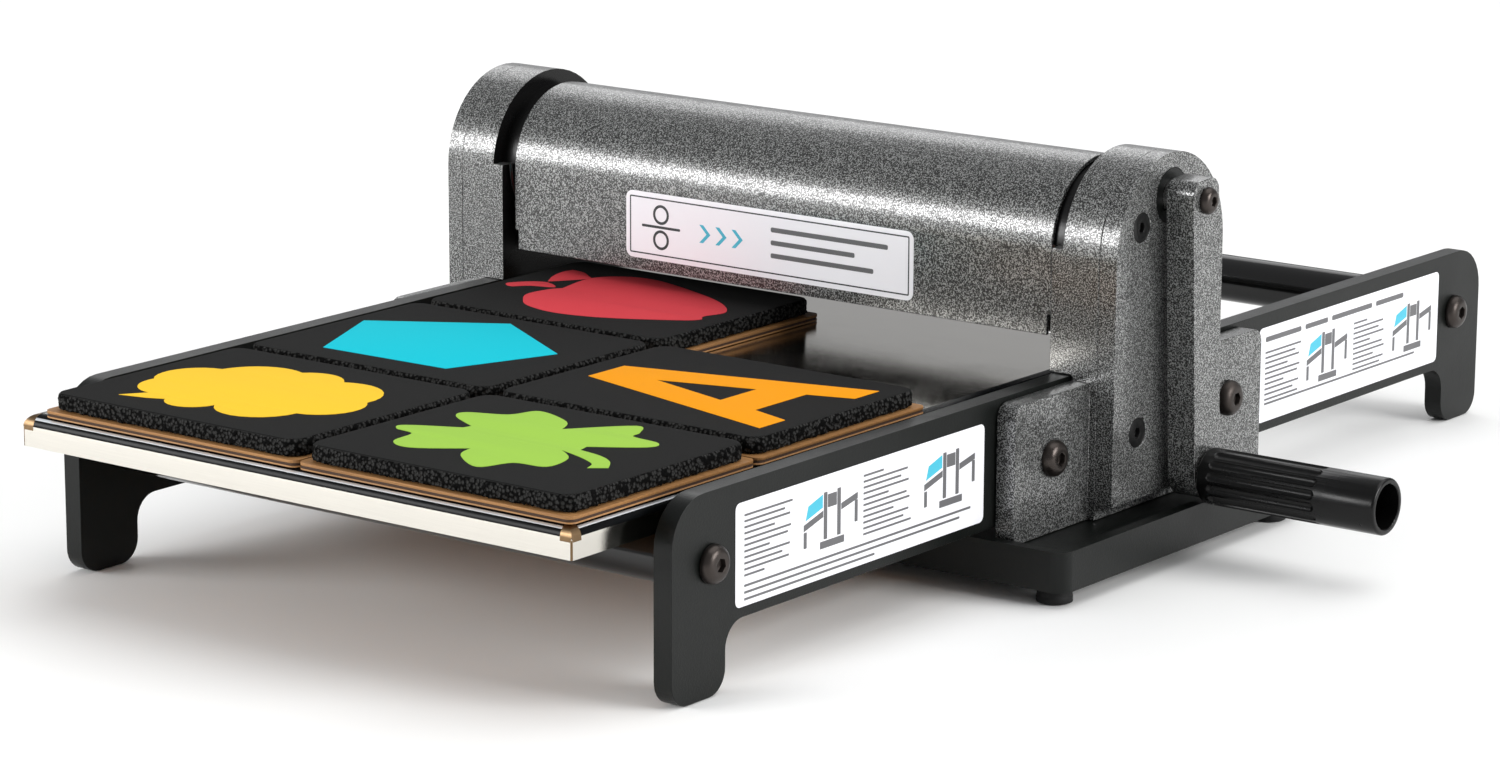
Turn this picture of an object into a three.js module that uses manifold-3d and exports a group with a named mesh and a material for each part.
// Hand-cranked die cutting machine, in millimetres, +Z up.
//
// +Y is the way the die tray feeds, +X points at the crank. The model is laid out about the
// nip: X = 0 midway between the side frames, Y = 0 on the roller axes and Z = 0 on the table.
// The whole group is then moved so that the middle of its footprint is at the origin.

import * as THREE from 'three';
import { mergeVertices } from 'three/addons/utils/BufferGeometryUtils.js';
import Module from 'manifold-3d';

const wasm = await Module();
wasm.setup();

// ---------------------------------------------------------------- driving dimensions

const gap = 0.3; // between pieces that touch
const running = 0.3; // between a shaft and its bore

// Dies: nominal 6 by 5 inch steel-rule dies, foam on a board
const dieWidth = 152.8;
const dieDepth = 125.8;
const dieGap = 1;
const dieCorner = 4;
const boardThickness = 3.2;
const foamThickness = 7.7;
const foamInset = 2.4;
const foamCorner = 8;

// Die tray: a folded steel pan over a solid core
const trayMargin = 12.4; // bare strip left of the dies
const trayEdge = 0.5; // from the dies to the tray's right edge
const trayTail = 51.6; // bare strip behind the last row
const trayPastNip = 44; // how far the tray reaches behind the nip at rest
const trayHeight = 14.8;
const traySheet = 1.5;
const trayClearance = 6.5; // to each side frame
const dieRows = 3;

// Base and feet
const footHeight = 7.4;
const footRadius = 8.5;
const footNeckRadius = 7;
const footFlange = 3.2;
const footInset = 13;
const baseHeight = 19.1;
const baseRecess = 4;
const baseRim = 6;
const baseCorner = 8;
const baseMargin = 20; // past each cover plate
const baseFront = 116; // from the roller axis
const baseRear = 97;

// Rails and cross rods
const railHalfLength = 345.2;
const railThickness = 9.7;
const railHeight = 60;
const railSideGap = 2.3; // from a side frame's inner face to the rail's
const railRise = 3.8; // above the base
const railCorner = 22;
const legWidth = 36.9;
const legCorner = 11;
const legFillet = 12;
const railShaftRoom = 1.75; // round the lower shaft
const rodRadius = 12.7;
const rodRise = 28.3; // above the rail's bottom edge
const rodInset = 27.2; // from the rail's end
const tapRunout = 2; // of a tapped hole, past its screw

// Rollers
const upperRollerRadius = 28;
const sleeveThickness = 13;
const lowerRollerRadius = 22;
const nipClearance = 0.4;
const rollerEndGap = 5;
const journalRadius = 9.7;
const bearingWall = 7;

// Gears
const gearModule = 2.5;
const gearTeeth = 24;
const pinionTeeth = 12;
const gearWidth = 10;
const toothTipShare = 0.2; // of the circular pitch, so that the teeth run with backlash
const toothRootShare = 0.48;
const toothDepthBelowPitch = 1.25; // in modules
const gearSideGap = 1.5;
const gearClearance = 1.1;
const pinionClearance = 0.55;
const crankShaftRadius = 8;
const bushWall = 5;

// Side frames, their wings and cover plates
const frameThickness = 26.5;
const innerWall = 13; // inboard of the gear pocket
const gearCover = 13.5; // frame metal in front of and behind the large gear
const pinionCover = 3.2; // and above the pinion
const archSetback = 6; // the arch's inner face, back from the frame's inner face
const archLedge = 3.5; // the setback starts this far above the arch's centre
const wingThickness = 10.3;
const wingReach = 106.9;
const wingDrop = 2.1; // below the rail's top edge
const wingCorner = 7;
const plateThickness = 9.2;
const plateRise = 4.1; // above the base

// Safety guard
const guardThickness = 2;
const guardSetback = 5.5; // behind the front of the side frames
const guardEndGap = 3.5;
const guardRise = 8.2; // above the dies
const guardNotchWidth = 2;
const guardNotchHeight = 10;
const saddleWall = 5;
const saddleReach = 8.5;

// Crank
const crankLean = THREE.MathUtils.degToRad(3);
const armGap = 4; // to the cover plate
const armThickness = 15;
const armWidth = 22.3;
const armTop = 10; // above the shaft
const armTopCorner = 7;
const armSweepGap = 1.15; // over the base
const armSocketDepth = 10.5;
const gripLength = 95.2;
const gripRadius = 13.5;
const gripFluted = 63;
const gripFlutes = 14;
const fluteRadius = 2.4;
const fluteDepth = 1.3;
const gripMouthDepth = 36;
const gripMouthWall = 2.8;
const gripHeelChamfer = 2;
const gripLipChamfer = 1;
const fluteStart = 5; // from the grip's heel
const gripSideGap = 0.8; // outboard of the base
const boltRadius = 5;
const boltHeadRadius = 8;
const boltHeadHeight = 8;
const boltCollar = 4; // past the bolt's own radius
const boltSocket = 4;

// Screws
const railScrew = { head: 8.75, height: 5, shank: 4, socket: 3, socketDepth: 2.6 };
const armScrew = { head: 6.35, height: 3.8, shank: 3, socket: 2.3, socketDepth: 2 };
const plateScrew = { head: 7.4, height: 4.4, shank: 3, socket: 2.4, socketDepth: 2.4 };
const railScrewGrip = 14; // length in the rod
const armScrewGrip = 8; // length in the crank shaft
const plateScrewGrip = 11; // length in the side frame
const plateScrewSpread = 25; // either side of the roller axis
const plateScrewTop = 14; // above the arch's centre
const plateScrewRise = 32; // above the plate's bottom edge
const holeClearance = 0.3;
const domeFlat = 0.55; // share of a button head's radius that is flat
const domeSkirt = 0.2; // share of its height that is upright

// ---------------------------------------------------------------- levels, bottom to top

const baseTop = footHeight + baseHeight;
const baseFloor = baseTop - baseRecess;
const railBottom = baseTop + railRise;
const railTop = railBottom + railHeight;
const rodZ = railBottom + rodRise;
const bedZ = rodZ + rodRadius;
const trayBottom = bedZ + gap;
const trayTop = trayBottom + trayHeight;
const boardBottom = trayTop + gap;
const foamBottom = boardBottom + boardThickness + gap;
const foamTop = foamBottom + foamThickness;
const upperZ = foamTop + nipClearance + upperRollerRadius;
const lowerZ = bedZ - lowerRollerRadius;
const crankZ = upperZ + (gearModule * (gearTeeth + pinionTeeth)) / 2;

const gearTip = gearModule * (gearTeeth / 2 + 1);
const pinionTip = gearModule * (pinionTeeth / 2 + 1);
const archRadius = gearTip + gearCover;
const archZ = crankZ + pinionTip + pinionCover - archRadius;
const guardRadius = archRadius - guardSetback;
const crankRadius = crankZ - baseTop - armWidth / 2 - armSweepGap;

// ---------------------------------------------------------------- stations, inside to outside

const trayHalfWidth = (2 * (dieWidth + dieGap) + trayMargin) / 2;
const frameInnerX = trayHalfWidth + trayClearance;
const pocketX = frameInnerX + innerWall;
const frameOuterX = frameInnerX + frameThickness;
const railInnerX = frameInnerX + railSideGap;
const railOuterX = railInnerX + railThickness;
const wingInnerX = railOuterX + gap;
const wingOuterX = wingInnerX + wingThickness;
const plateInnerX = frameOuterX + gap;
const plateOuterX = plateInnerX + plateThickness;
const armInnerX = plateOuterX + armGap;
const armOuterX = armInnerX + armThickness;
const baseHalfWidth = plateOuterX + baseMargin;
const gripStartX = baseHalfWidth + gripSideGap;
const gripEndX = gripStartX + gripLength;
const guardEndX = frameInnerX - guardEndGap;

const outerRodY = railHalfLength - rodInset;
const innerRodY = (archRadius + wingReach) / 2;
const trayLength = dieRows * (dieDepth + dieGap) + trayTail;
const trayFrontY = trayPastNip - trayLength;

// ---------------------------------------------------------------- solids

// Flats round a full circle, by the size of the piece
const fineRound = 24;
const mediumRound = 18;
const smallRound = 12;
const holeRound = 10;
const archSteps = 14; // flats in a quarter of an arch
const cornerSteps = 3; // flats in a rounded corner
const outlineSteps = 4; // in a rail's or arm's larger corners
const weldDistance = 1e-3; // below which two corners are one

const xFromExtrusion = new THREE.Matrix4().makeBasis(
  new THREE.Vector3(0, 1, 0),
  new THREE.Vector3(0, 0, 1),
  new THREE.Vector3(1, 0, 0),
);
const xFromLathe = new THREE.Matrix4().makeBasis(
  new THREE.Vector3(0, 0, 1),
  new THREE.Vector3(1, 0, 0),
  new THREE.Vector3(0, 1, 0),
);

// A closed solid for cutting and joining, from any closed geometry.
function solid(geometry) {
  geometry.deleteAttribute('normal');
  geometry.deleteAttribute('uv');
  const merged = mergeVertices(geometry, weldDistance);
  const corners = merged.index.array;
  const kept = [];
  for (let i = 0; i < corners.length; i += 3) {
    const [a, b, c] = [corners[i], corners[i + 1], corners[i + 2]];
    if (a !== b && b !== c && c !== a) kept.push(a, b, c);
  }
  return new wasm.Manifold(
    new wasm.Mesh({
      numProp: 3,
      vertProperties: new Float32Array(merged.attributes.position.array),
      triVerts: new Uint32Array(kept),
    }),
  );
}

function cut(body, ...tools) {
  return tools.reduce((rest, tool) => rest.subtract(tool), body);
}

function join(...bodies) {
  return bodies.reduce((whole, body) => whole.add(body));
}

// An outline in the YZ plane, extruded along X between two stations.
function extrudeX(outline, x0, x1, curveSegments = outlineSteps) {
  const [start, end] = x0 < x1 ? [x0, x1] : [x1, x0];
  const options = { depth: end - start, bevelEnabled: false, curveSegments };
  const geometry = new THREE.ExtrudeGeometry(outline, options).applyMatrix4(xFromExtrusion);
  return solid(geometry.translate(start, 0, 0));
}

// An outline in the XY plane, extruded up between two levels.
function extrudeZ(outline, z0, z1, curveSegments = cornerSteps) {
  const options = { depth: z1 - z0, bevelEnabled: false, curveSegments };
  return solid(new THREE.ExtrudeGeometry(outline, options).translate(0, 0, z0));
}

// A piece turned about an axis along X: [radius, x] points, from its low end to its high end.
function turnX(profile, segments = mediumRound, y = 0, z = 0) {
  const points = profile.map(([radius, x]) => new THREE.Vector2(radius, x));
  const geometry = new THREE.LatheGeometry(points, segments).applyMatrix4(xFromLathe);
  return solid(geometry.translate(0, y, z));
}

function barX(radius, x0, x1, y = 0, z = 0, segments = mediumRound) {
  const [start, end] = x0 < x1 ? [x0, x1] : [x1, x0];
  return turnX([[0, start], [radius, start], [radius, end], [0, end]], segments, y, z);
}

function ringX(outer, inner, x0, x1, z, segments = mediumRound) {
  const margin = 1;
  return cut(
    barX(outer, x0, x1, 0, z, segments),
    barX(inner, Math.min(x0, x1) - margin, Math.max(x0, x1) + margin, 0, z, segments),
  );
}

function box(x0, x1, y0, y1, z0, z1) {
  const geometry = new THREE.BoxGeometry(Math.abs(x1 - x0), y1 - y0, z1 - z0);
  return solid(geometry.translate((x0 + x1) / 2, (y0 + y1) / 2, (z0 + z1) / 2));
}

function hexSocket(radius, x0, x1) {
  return barX(radius, x0, x1, 0, 0, 6);
}

// ---------------------------------------------------------------- outlines

function archOutline(halfWidth, bottom, centre) {
  const outline = new THREE.Shape();
  outline.moveTo(-halfWidth, bottom);
  outline.lineTo(halfWidth, bottom);
  outline.lineTo(halfWidth, centre);
  outline.absarc(0, centre, halfWidth, 0, Math.PI, false);
  outline.closePath();
  return outline;
}

function roundedRectangle(x0, x1, y0, y1, radius) {
  const outline = new THREE.Shape();
  outline.moveTo(x0 + radius, y0);
  outline.lineTo(x1 - radius, y0);
  outline.absarc(x1 - radius, y0 + radius, radius, -Math.PI / 2, 0, false);
  outline.lineTo(x1, y1 - radius);
  outline.absarc(x1 - radius, y1 - radius, radius, 0, Math.PI / 2, false);
  outline.lineTo(x0 + radius, y1);
  outline.absarc(x0 + radius, y1 - radius, radius, Math.PI / 2, Math.PI, false);
  outline.lineTo(x0, y0 + radius);
  outline.absarc(x0 + radius, y0 + radius, radius, Math.PI, 1.5 * Math.PI, false);
  outline.closePath();
  return outline;
}

// A rail seen from the side: a long plate with a leg under each end.
function railOutline() {
  const end = railHalfLength;
  const legInside = end - legWidth;
  const outline = new THREE.Shape();
  outline.moveTo(-legInside + legFillet, railBottom);
  outline.lineTo(legInside - legFillet, railBottom);
  outline.absarc(legInside - legFillet, railBottom - legFillet, legFillet, Math.PI / 2, 0, true);
  outline.lineTo(legInside, legCorner);
  outline.absarc(legInside + legCorner, legCorner, legCorner, Math.PI, 1.5 * Math.PI, false);
  outline.lineTo(end - legCorner, 0);
  outline.absarc(end - legCorner, legCorner, legCorner, -Math.PI / 2, 0, false);
  outline.lineTo(end, railTop - railCorner);
  outline.absarc(end - railCorner, railTop - railCorner, railCorner, 0, Math.PI / 2, false);
  outline.lineTo(-end + railCorner, railTop);
  outline.absarc(railCorner - end, railTop - railCorner, railCorner, Math.PI / 2, Math.PI, false);
  outline.lineTo(-end, legCorner);
  outline.absarc(legCorner - end, legCorner, legCorner, Math.PI, 1.5 * Math.PI, false);
  outline.lineTo(-legInside - legCorner, 0);
  outline.absarc(-legInside - legCorner, legCorner, legCorner, -Math.PI / 2, 0, false);
  outline.lineTo(-legInside, railBottom - legFillet);
  outline.absarc(legFillet - legInside, railBottom - legFillet, legFillet, Math.PI, Math.PI / 2, true);
  outline.closePath();
  return outline;
}

// Straight-sided teeth with backlash. The first tooth points along the phase angle.
function gearOutline(teeth, phase) {
  const pitchRadius = (gearModule * teeth) / 2;
  const circularPitch = Math.PI * gearModule;
  const tip = pitchRadius + gearModule;
  const root = pitchRadius - toothDepthBelowPitch * gearModule;
  const tipHalfAngle = (toothTipShare * circularPitch) / (2 * tip);
  const rootHalfAngle = (toothRootShare * circularPitch) / (2 * root);
  const points = [];
  for (let i = 0; i < teeth; i += 1) {
    const middle = phase + (2 * Math.PI * i) / teeth;
    const corners = [
      [root, middle - rootHalfAngle],
      [tip, middle - tipHalfAngle],
      [tip, middle + tipHalfAngle],
      [root, middle + rootHalfAngle],
    ];
    for (const [radius, angle] of corners) {
      points.push(new THREE.Vector2(radius * Math.cos(angle), radius * Math.sin(angle)));
    }
  }
  return new THREE.Shape(points);
}

// ---------------------------------------------------------------- model and materials

const model = new THREE.Group();

function finish(color, roughness, metalness) {
  return () => new THREE.MeshStandardMaterial({ color, roughness, metalness });
}

const hammertone = finish(0x6b6f70, 0.35, 0.5);
const satinBlack = finish(0x1b1e1c, 0.5, 0.3);
const blackRod = finish(0x151515, 0.3, 0.4);
const darkOxide = finish(0x3a312c, 0.4, 0.8);
const brightSteel = finish(0xc9c5bb, 0.25, 1);
const bronze = finish(0x9c7a45, 0.45, 0.9);
const blackPlastic = finish(0x17171a, 0.3, 0);
const blackRubber = finish(0x202020, 0.8, 0);
const blackFoam = finish(0x1e1e1f, 0.95, 0);
const fibreboard = finish(0x8a5a2b, 0.8, 0);

function addPiece(name, body, material, parent = model) {
  const mesh = body.getMesh();
  const geometry = new THREE.BufferGeometry();
  geometry.setAttribute('position', new THREE.BufferAttribute(mesh.vertProperties, 3));
  geometry.setIndex(new THREE.BufferAttribute(mesh.triVerts, 1));
  const piece = new THREE.Mesh(geometry, material());
  piece.name = name;
  parent.add(piece);
  return piece;
}

const sides = [
  ['left', -1],
  ['right', 1],
];
const ends = [
  ['front', -1],
  ['rear', 1],
];

// ---------------------------------------------------------------- base and feet

// A tray with a rim on three sides. It is open at the rear, where the wings reach past it.
function addBase() {
  const x = baseHalfWidth;
  const slab = extrudeZ(roundedRectangle(-x, x, -baseFront, baseRear, baseCorner), footHeight, baseTop);
  const innerX = x - baseRim;
  const pastRear = baseRear + 2 * baseCorner;
  const inside = roundedRectangle(-innerX, innerX, baseRim - baseFront, pastRear, baseCorner - baseRim / 2);
  addPiece('base_pan', cut(slab, extrudeZ(inside, baseFloor, baseTop + 1)), satinBlack);
}

function addFeet() {
  const profile = [
    [0, 0],
    [footRadius, 0],
    [footRadius, footFlange],
    [footNeckRadius, footFlange],
    [footNeckRadius, footHeight - gap],
    [0, footHeight - gap],
  ];
  for (const [side, x] of sides) {
    for (const [end, y] of ends) {
      const points = profile.map(([radius, z]) => new THREE.Vector2(radius, z));
      const turned = new THREE.LatheGeometry(points, smallRound).rotateX(Math.PI / 2);
      const foot = addPiece(`foot_${end}_${side}`, solid(turned), blackRubber);
      const depth = y < 0 ? footInset - baseFront : baseRear - footInset;
      foot.position.set(x * (baseHalfWidth - footInset), depth, 0);
    }
  }
}

// ---------------------------------------------------------------- rails, rods and their screws

function addRails() {
  const hole = railScrew.shank + holeClearance;
  for (const [side, x] of sides) {
    const inner = x * (railInnerX - 1);
    const outer = x * (railOuterX + 1);
    const screwHoles = [-outerRodY, -innerRodY, innerRodY, outerRodY].map((y) =>
      barX(hole, inner, outer, y, rodZ, holeRound),
    );
    const shaftHole = barX(journalRadius + railShaftRoom, inner, outer, 0, lowerZ);
    const plate = extrudeX(railOutline(), x * railInnerX, x * railOuterX);
    addPiece(`rail_${side}`, cut(plate, shaftHole, ...screwHoles), satinBlack);
  }
}

function addRods() {
  const end = railInnerX - gap;
  const tapped = railScrew.shank + holeClearance;
  const bottom = end - railScrewGrip - tapRunout;
  const profile = [
    [0, -bottom],
    [tapped, -bottom],
    [tapped, -end],
    [rodRadius, -end],
    [rodRadius, end],
    [tapped, end],
    [tapped, bottom],
    [0, bottom],
  ];
  for (const [place, y] of ends) {
    addPiece(`rod_${place}_outer`, turnX(profile, mediumRound, y * outerRodY, rodZ), blackRod);
    addPiece(`rod_${place}_inner`, turnX(profile, mediumRound, y * innerRodY, rodZ), blackRod);
  }
}

// A button-head screw along +X whose head seats on the plane x = 0.
function buttonScrew(size, length) {
  const dome = [];
  const steps = 3;
  for (let i = 0; i <= steps; i += 1) {
    const angle = (Math.PI / 2) * (i / steps);
    const rim = size.head * (domeFlat + (1 - domeFlat) * Math.cos(angle));
    dome.push([rim, gap + size.height * (domeSkirt + (1 - domeSkirt) * Math.sin(angle))]);
  }
  const top = gap + size.height;
  const profile = [[0, -length], [size.shank, -length], [size.shank, gap], [size.head, gap]];
  const turned = turnX([...profile, ...dome, [0, top]], smallRound);
  return cut(turned, hexSocket(size.socket, top - size.socketDepth, top + 1));
}

function addRailScrews() {
  for (const [side, x] of sides) {
    const outward = x > 0 ? 0 : Math.PI;
    for (const [end, y] of ends) {
      const inRail = buttonScrew(railScrew, railThickness + gap + railScrewGrip);
      const outer = addPiece(`rail_screw_${end}_${side}_outer`, inRail, darkOxide);
      outer.position.set(x * railOuterX, y * outerRodY, rodZ);
      outer.rotation.z = outward;
      const throughWing = wingThickness + railThickness + 2 * gap + railScrewGrip;
      const inner = addPiece(
        `rail_screw_${end}_${side}_inner`,
        buttonScrew(railScrew, throughWing),
        darkOxide,
      );
      inner.position.set(x * wingOuterX, y * innerRodY, rodZ);
      inner.rotation.z = outward;
    }
  }
}

// ---------------------------------------------------------------- side frames and covers

function wingBody(x) {
  const bottom = baseFloor + gap;
  const top = railTop - wingDrop;
  const reach = wingReach;
  const outline = new THREE.Shape();
  outline.moveTo(-reach, bottom);
  outline.lineTo(reach, bottom);
  outline.lineTo(reach, top - wingCorner);
  outline.absarc(reach - wingCorner, top - wingCorner, wingCorner, 0, Math.PI / 2, false);
  outline.lineTo(wingCorner - reach, top);
  outline.absarc(wingCorner - reach, top - wingCorner, wingCorner, Math.PI / 2, Math.PI, false);
  outline.closePath();
  return extrudeX(outline, x * wingInnerX, x * wingOuterX, cornerSteps);
}

// The half ring inside each frame that the guard sits on.
function saddleBody(x) {
  const outer = guardRadius - guardThickness - gap;
  const outline = new THREE.Shape();
  outline.absarc(0, archZ, outer, 0, Math.PI, false);
  outline.lineTo(saddleWall - outer, archZ);
  outline.absarc(0, archZ, outer - saddleWall, Math.PI, 0, true);
  outline.closePath();
  return extrudeX(outline, x * (frameInnerX - saddleReach), x * (frameInnerX + archSetback), archSteps);
}

// What the arch gives up on its inner face, above the ledge and outside the saddle.
function archRebate(x) {
  const inner = x * (frameInnerX - 1);
  const outer = x * (frameInnerX + archSetback);
  const reach = archRadius + 1;
  const above = box(inner, outer, -reach, reach, archZ + archLedge, archZ + reach);
  const saddle = guardRadius - guardThickness - gap;
  const start = x * (frameInnerX - 1);
  const end = x * (frameInnerX + archSetback + 1);
  return cut(above, barX(saddle, start, end, 0, archZ, 4 * archSteps));
}

function plateScrewPlaces() {
  const low = baseTop + plateRise + plateScrewRise;
  const high = archZ + plateScrewTop;
  return [
    ['front', 'upper', -plateScrewSpread, high],
    ['front', 'lower', -plateScrewSpread, low],
    ['rear', 'upper', plateScrewSpread, high],
    ['rear', 'lower', plateScrewSpread, low],
  ];
}

function gearPocket(x) {
  const [inner, outer] = [x * pocketX, x * (frameOuterX + 1)];
  return join(
    barX(gearTip + gearClearance, inner, outer, 0, upperZ, fineRound),
    barX(pinionTip + pinionClearance, inner, outer, 0, crankZ, fineRound),
    barX(crankShaftRadius + running, x * (pocketX - innerWall / 2), inner + x, 0, crankZ),
  );
}

function addSideFrames() {
  const bearingHole = journalRadius + running + bearingWall + gap;
  const screwHole = plateScrew.shank + holeClearance;
  const wingHole = railScrew.shank + holeClearance;
  for (const [side, x] of sides) {
    const [inner, outer] = [x * frameInnerX, x * frameOuterX];
    const column = extrudeX(archOutline(archRadius, baseFloor + gap, archZ), inner, outer, archSteps);
    const bare = join(cut(column, archRebate(x)), wingBody(x), saddleBody(x));
    const railChannel = box(
      x * (frameInnerX - 1),
      x * wingInnerX,
      -wingReach,
      wingReach,
      railBottom - gap,
      railTop + gap,
    );
    const upperBore = barX(bearingHole, x * (frameInnerX - 1), x * pocketX, 0, upperZ);
    const lowerBore = barX(bearingHole, x * (wingInnerX - 1), outer + x, 0, lowerZ);
    const screwHoles = plateScrewPlaces().map(([, , y, z]) =>
      barX(screwHole, x * (frameOuterX - plateScrewGrip - 1), outer + x, y, z, holeRound),
    );
    const wingHoles = [-innerRodY, innerRodY].map((y) =>
      barX(wingHole, x * (wingInnerX - 1), x * (wingOuterX + 1), y, rodZ, holeRound),
    );
    const pocket = x > 0 ? [gearPocket(x)] : [];
    const cuts = [railChannel, upperBore, lowerBore, ...screwHoles, ...wingHoles, ...pocket];
    addPiece(`side_frame_${side}`, cut(bare, ...cuts), hammertone);
  }
}

function countersink(y, z, x) {
  const face = plateOuterX;
  const shank = plateScrew.shank + holeClearance;
  const wide = plateScrew.head + holeClearance;
  const hole = barX(shank, x * (plateInnerX - 1), x * (face + 1), y, z, holeRound);
  const cone = [
    [0, -plateScrew.height],
    [shank, -plateScrew.height],
    [wide, 0],
    [wide, 1],
    [0, 1],
  ];
  const low = cone.map(([radius, depth]) => [radius, face + depth]);
  const profile = x > 0 ? low : low.map(([radius, at]) => [radius, -at]).reverse();
  return join(hole, turnX(profile, smallRound, y, z));
}

function addCoverPlates() {
  for (const [side, x] of sides) {
    const outline = archOutline(archRadius, baseTop + plateRise, archZ);
    const plate = extrudeX(outline, x * plateInnerX, x * plateOuterX, archSteps);
    const sinks = plateScrewPlaces().map(([, , y, z]) => countersink(y, z, x));
    const bushRadius = crankShaftRadius + running + bushWall + gap;
    const bushHole = barX(bushRadius, x * (plateInnerX - 1), x * (plateOuterX + 1), 0, crankZ);
    const cuts = x > 0 ? [...sinks, bushHole] : sinks;
    addPiece(`cover_plate_${side}`, cut(plate, ...cuts), hammertone);
  }
}

function addPlateScrews() {
  const { head, height, shank, socket, socketDepth } = plateScrew;
  const length = plateThickness + gap + plateScrewGrip;
  for (const [side, x] of sides) {
    for (const [end, level, y, z] of plateScrewPlaces()) {
      const profile = [[0, -length], [shank, -length], [shank, -height], [head, 0], [0, 0]];
      const turned = turnX(profile, smallRound);
      const screw = cut(turned, hexSocket(socket, -socketDepth, 1));
      const piece = addPiece(`plate_screw_${end}_${level}_${side}`, screw, darkOxide);
      piece.position.set(x * plateOuterX, y, z);
      piece.rotation.z = x > 0 ? 0 : Math.PI;
    }
  }
}

// ---------------------------------------------------------------- safety guard

function addGuard() {
  const bottom = foamTop + guardRise;
  const inner = guardRadius - guardThickness;
  const outline = new THREE.Shape();
  outline.moveTo(-guardRadius, bottom);
  outline.lineTo(-inner, bottom);
  outline.lineTo(-inner, archZ);
  outline.absarc(0, archZ, inner, Math.PI, 0, true);
  outline.lineTo(inner, bottom);
  outline.lineTo(guardRadius, bottom);
  outline.lineTo(guardRadius, archZ);
  outline.absarc(0, archZ, guardRadius, 0, Math.PI, false);
  outline.closePath();
  const shell = extrudeX(outline, -guardEndX, guardEndX, archSteps);
  const reach = guardRadius + 1;
  const top = bottom + guardNotchHeight;
  const notches = sides.map(([, x]) =>
    box(x * (guardEndX - guardNotchWidth), x * (guardEndX + 1), -reach, reach, bottom - 1, top),
  );
  addPiece('safety_guard', cut(shell, ...notches), hammertone);
}

// ---------------------------------------------------------------- rollers and bearings

function addUpperRoller() {
  const end = frameInnerX - rollerEndGap;
  const core = upperRollerRadius - sleeveThickness;
  addPiece('upper_roller', ringX(upperRollerRadius, core, -end, end, upperZ, fineRound), blackRubber);
  const journalEnd = pocketX - 1;
  const gearSeat = frameOuterX - 1;
  const profile = [
    [0, -journalEnd],
    [journalRadius, -journalEnd],
    [journalRadius, -end],
    [core - gap, -end],
    [core - gap, end],
    [journalRadius, end],
    [journalRadius, pocketX + gap],
    [crankShaftRadius, pocketX + gap],
    [crankShaftRadius, gearSeat],
    [0, gearSeat],
  ];
  addPiece('upper_roller_shaft', turnX(profile, mediumRound, 0, upperZ), brightSteel);
}

function addLowerRoller() {
  const end = frameInnerX - rollerEndGap;
  const journalEnd = frameOuterX - 1;
  const profile = [
    [0, -journalEnd],
    [journalRadius, -journalEnd],
    [journalRadius, -end],
    [lowerRollerRadius, -end],
    [lowerRollerRadius, end],
    [journalRadius, end],
    [journalRadius, journalEnd],
    [0, journalEnd],
  ];
  addPiece('lower_roller', turnX(profile, fineRound, 0, lowerZ), brightSteel);
}

function addBearings() {
  const bore = journalRadius + running;
  for (const [side, x] of sides) {
    const upper = ringX(bore + bearingWall, bore, x * frameInnerX, x * (pocketX - gap), upperZ);
    addPiece(`upper_bearing_${side}`, upper, bronze);
    const lowerEnds = [x * (wingInnerX + gap), x * frameOuterX];
    addPiece(`lower_bearing_${side}`, ringX(bore + bearingWall, bore, ...lowerEnds, lowerZ), bronze);
  }
}

// ---------------------------------------------------------------- crank drive

function addGears() {
  const start = pocketX + gearSideGap;
  const bore = crankShaftRadius + running;
  const up = Math.PI / 2;
  const wheel = extrudeX(gearOutline(gearTeeth, up), start, start + gearWidth);
  const wheelBore = barX(bore, start - 1, start + gearWidth + 1);
  addPiece('drive_gear', cut(wheel, wheelBore), brightSteel).position.z = upperZ;
  const halfTooth = Math.PI / pinionTeeth;
  const pinion = extrudeX(gearOutline(pinionTeeth, -up + halfTooth), start, start + gearWidth);
  const pinionBore = barX(bore, start - 1, start + gearWidth + 1);
  addPiece('crank_pinion', cut(pinion, pinionBore), brightSteel).position.z = crankZ;
}

function addCrankShaft() {
  const radius = crankShaftRadius;
  const start = pocketX - innerWall / 2 + 1;
  const end = armInnerX + armSocketDepth - gap;
  const tapped = armScrew.shank + holeClearance;
  const bottom = end - armScrewGrip - tapRunout;
  const profile = [[0, start], [radius, start], [radius, end], [tapped, end], [tapped, bottom], [0, bottom]];
  addPiece('crank_shaft', turnX(profile, mediumRound, 0, crankZ), brightSteel);
  const bush = ringX(radius + running + bushWall, radius + running, plateInnerX, plateOuterX, crankZ);
  addPiece('crank_bush', bush, bronze);
}

function armBody() {
  const half = armWidth / 2;
  const outline = new THREE.Shape();
  outline.moveTo(-half, -crankRadius);
  outline.absarc(0, -crankRadius, half, Math.PI, 2 * Math.PI, false);
  outline.lineTo(half, armTop - armTopCorner);
  outline.absarc(half - armTopCorner, armTop - armTopCorner, armTopCorner, 0, Math.PI / 2, false);
  outline.lineTo(armTopCorner - half, armTop);
  outline.absarc(armTopCorner - half, armTop - armTopCorner, armTopCorner, Math.PI / 2, Math.PI, false);
  outline.closePath();
  const bar = extrudeX(outline, armInnerX, armOuterX);
  const socketEnd = armInnerX + armSocketDepth;
  return cut(
    bar,
    barX(crankShaftRadius + running, armInnerX - 1, socketEnd),
    barX(armScrew.shank + holeClearance, socketEnd - 1, armOuterX + 1, 0, 0, holeRound),
    barX(boltRadius + holeClearance, armInnerX - 1, armOuterX + 1, 0, -crankRadius),
  );
}

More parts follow.
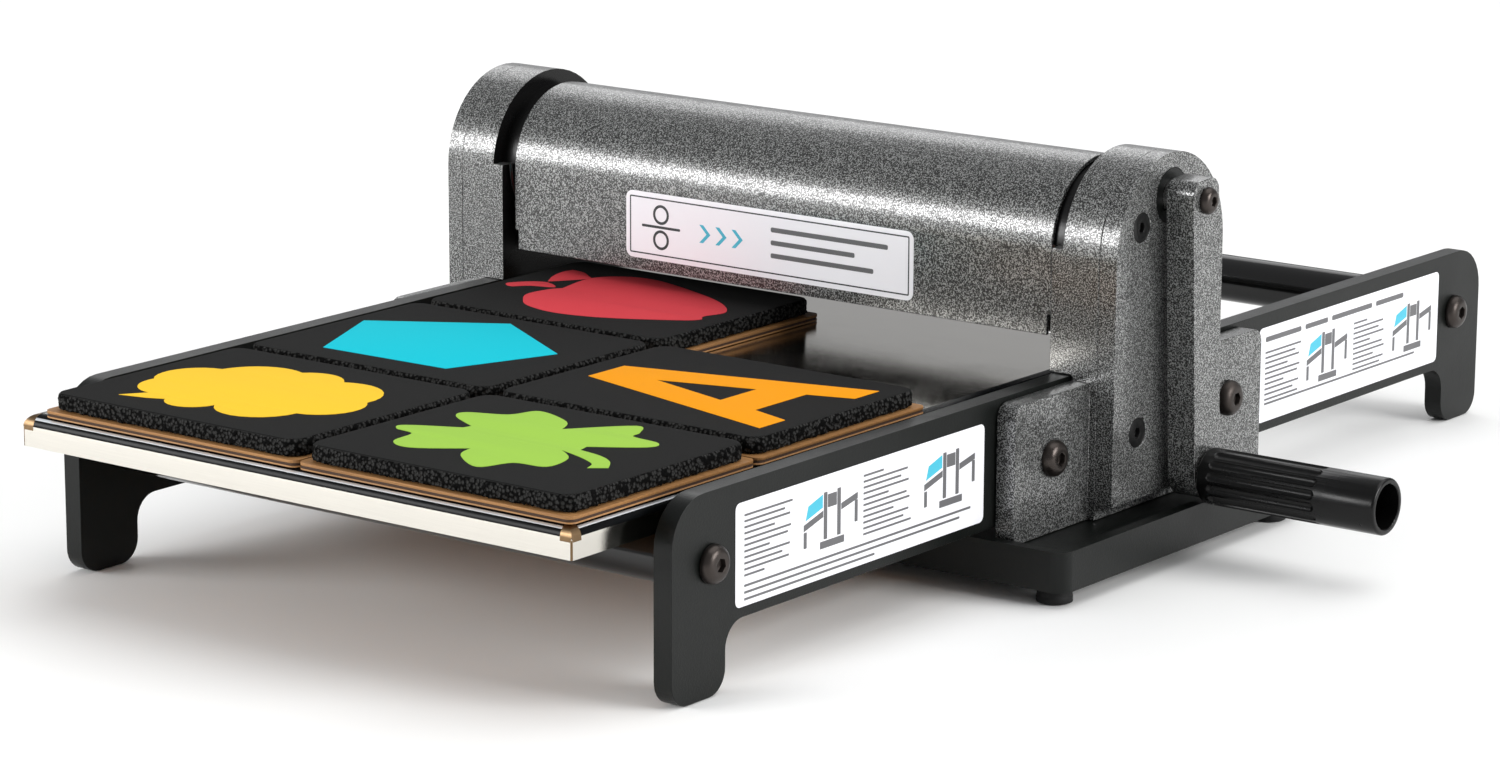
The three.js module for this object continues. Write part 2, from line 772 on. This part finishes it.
function gripBody() {
  const mouth = gripEndX - gripMouthDepth;
  const profile = [
    [0, gripStartX],
    [gripRadius - gripHeelChamfer, gripStartX],
    [gripRadius, gripStartX + gripHeelChamfer],
    [gripRadius, gripEndX - gripLipChamfer],
    [gripRadius - gripLipChamfer, gripEndX],
    [0, gripEndX],
  ];
  const round = turnX(profile, fineRound);
  const flutes = [];
  const fluteAxis = gripRadius + fluteRadius - fluteDepth;
  for (let i = 0; i < gripFlutes; i += 1) {
    const angle = (2 * Math.PI * i) / gripFlutes;
    const [y, z] = [fluteAxis * Math.cos(angle), fluteAxis * Math.sin(angle)];
    const [start, end] = [gripStartX + fluteStart, gripStartX + gripFluted];
    flutes.push(barX(fluteRadius, start, end, y, z, holeRound));
  }
  return cut(
    round,
    barX(gripRadius - gripMouthWall, mouth, gripEndX + 1, 0, 0, mediumRound),
    barX(boltRadius + running, gripStartX - 1, mouth + 1),
    ...flutes,
  );
}

// The pin that the grip turns on: its head sits in the grip's mouth, its collar against the arm.
function gripBoltBody() {
  const collar = boltRadius + boltCollar;
  const head = gripEndX - gripMouthDepth + gap;
  const turned = turnX([
    [0, armInnerX + 1],
    [boltRadius, armInnerX + 1],
    [boltRadius, armOuterX + gap],
    [collar, armOuterX + gap],
    [collar, gripStartX - gap],
    [boltRadius, gripStartX - gap],
    [boltRadius, head],
    [boltHeadRadius, head],
    [boltHeadRadius, head + boltHeadHeight],
    [0, head + boltHeadHeight],
  ]);
  const end = head + boltHeadHeight;
  return cut(turned, hexSocket(boltSocket, end - boltHeadHeight / 2, end + 1));
}

function addCrank() {
  const crank = new THREE.Group();
  crank.position.z = crankZ;
  crank.rotation.x = crankLean;
  model.add(crank);
  addPiece('crank_arm', armBody(), hammertone, crank);
  const length = armThickness - armSocketDepth + armScrewGrip;
  addPiece('arm_screw', buttonScrew(armScrew, length), darkOxide, crank).position.x = armOuterX;
  addPiece('handle_grip', gripBody(), blackPlastic, crank).position.z = -crankRadius;
  addPiece('grip_bolt', gripBoltBody(), darkOxide, crank).position.z = -crankRadius;
}

// ---------------------------------------------------------------- tray and dies

function addTray() {
  const [x, front, rear] = [trayHalfWidth, trayFrontY, trayPastNip];
  const inside = box(
    traySheet - x,
    x - traySheet,
    front + traySheet,
    rear - traySheet,
    trayBottom - 1,
    trayTop - traySheet,
  );
  const pan = cut(box(-x, x, front, rear, trayBottom, trayTop), inside);
  addPiece('die_tray', pan, brightSteel);
  const inset = traySheet + gap;
  const core = box(inset - x, x - inset, front + inset, rear - inset, trayBottom, trayTop - inset);
  addPiece('tray_core', core, fibreboard);
}

function addDies() {
  const places = [
    ['cloud', 0, 0],
    ['shamrock', 1, 0],
    ['gem', 0, 1],
    ['letter', 1, 1],
    ['apple', 0, 2],
  ];
  const right = trayHalfWidth - trayEdge;
  for (const [name, column, row] of places) {
    const x1 = right - (1 - column) * (dieWidth + dieGap);
    const y0 = trayFrontY + dieGap / 2 + row * (dieDepth + dieGap);
    const [x0, y1] = [x1 - dieWidth, y0 + dieDepth];
    const board = roundedRectangle(x0, x1, y0, y1, dieCorner);
    addPiece(`die_board_${name}`, extrudeZ(board, boardBottom, boardBottom + boardThickness), fibreboard);
    const [left, low] = [x0 + foamInset, y0 + foamInset];
    const foam = roundedRectangle(left, x1 - foamInset, low, y1 - foamInset, foamCorner);
    addPiece(`die_foam_${name}`, extrudeZ(foam, foamBottom, foamTop), blackFoam);
  }
}

// ---------------------------------------------------------------- assembly

addBase();
addFeet();
addRails();
addRods();
addRailScrews();
addSideFrames();
addCoverPlates();
addPlateScrews();
addGuard();
addUpperRoller();
addLowerRoller();
addBearings();
addGears();
addCrankShaft();
addCrank();
addTray();
addDies();

const midX = (gripEndX - baseHalfWidth) / 2;
const midY = (Math.max(railHalfLength, trayPastNip) + Math.min(-railHalfLength, trayFrontY)) / 2;
model.position.set(-midX, -midY, 0);

export default model;
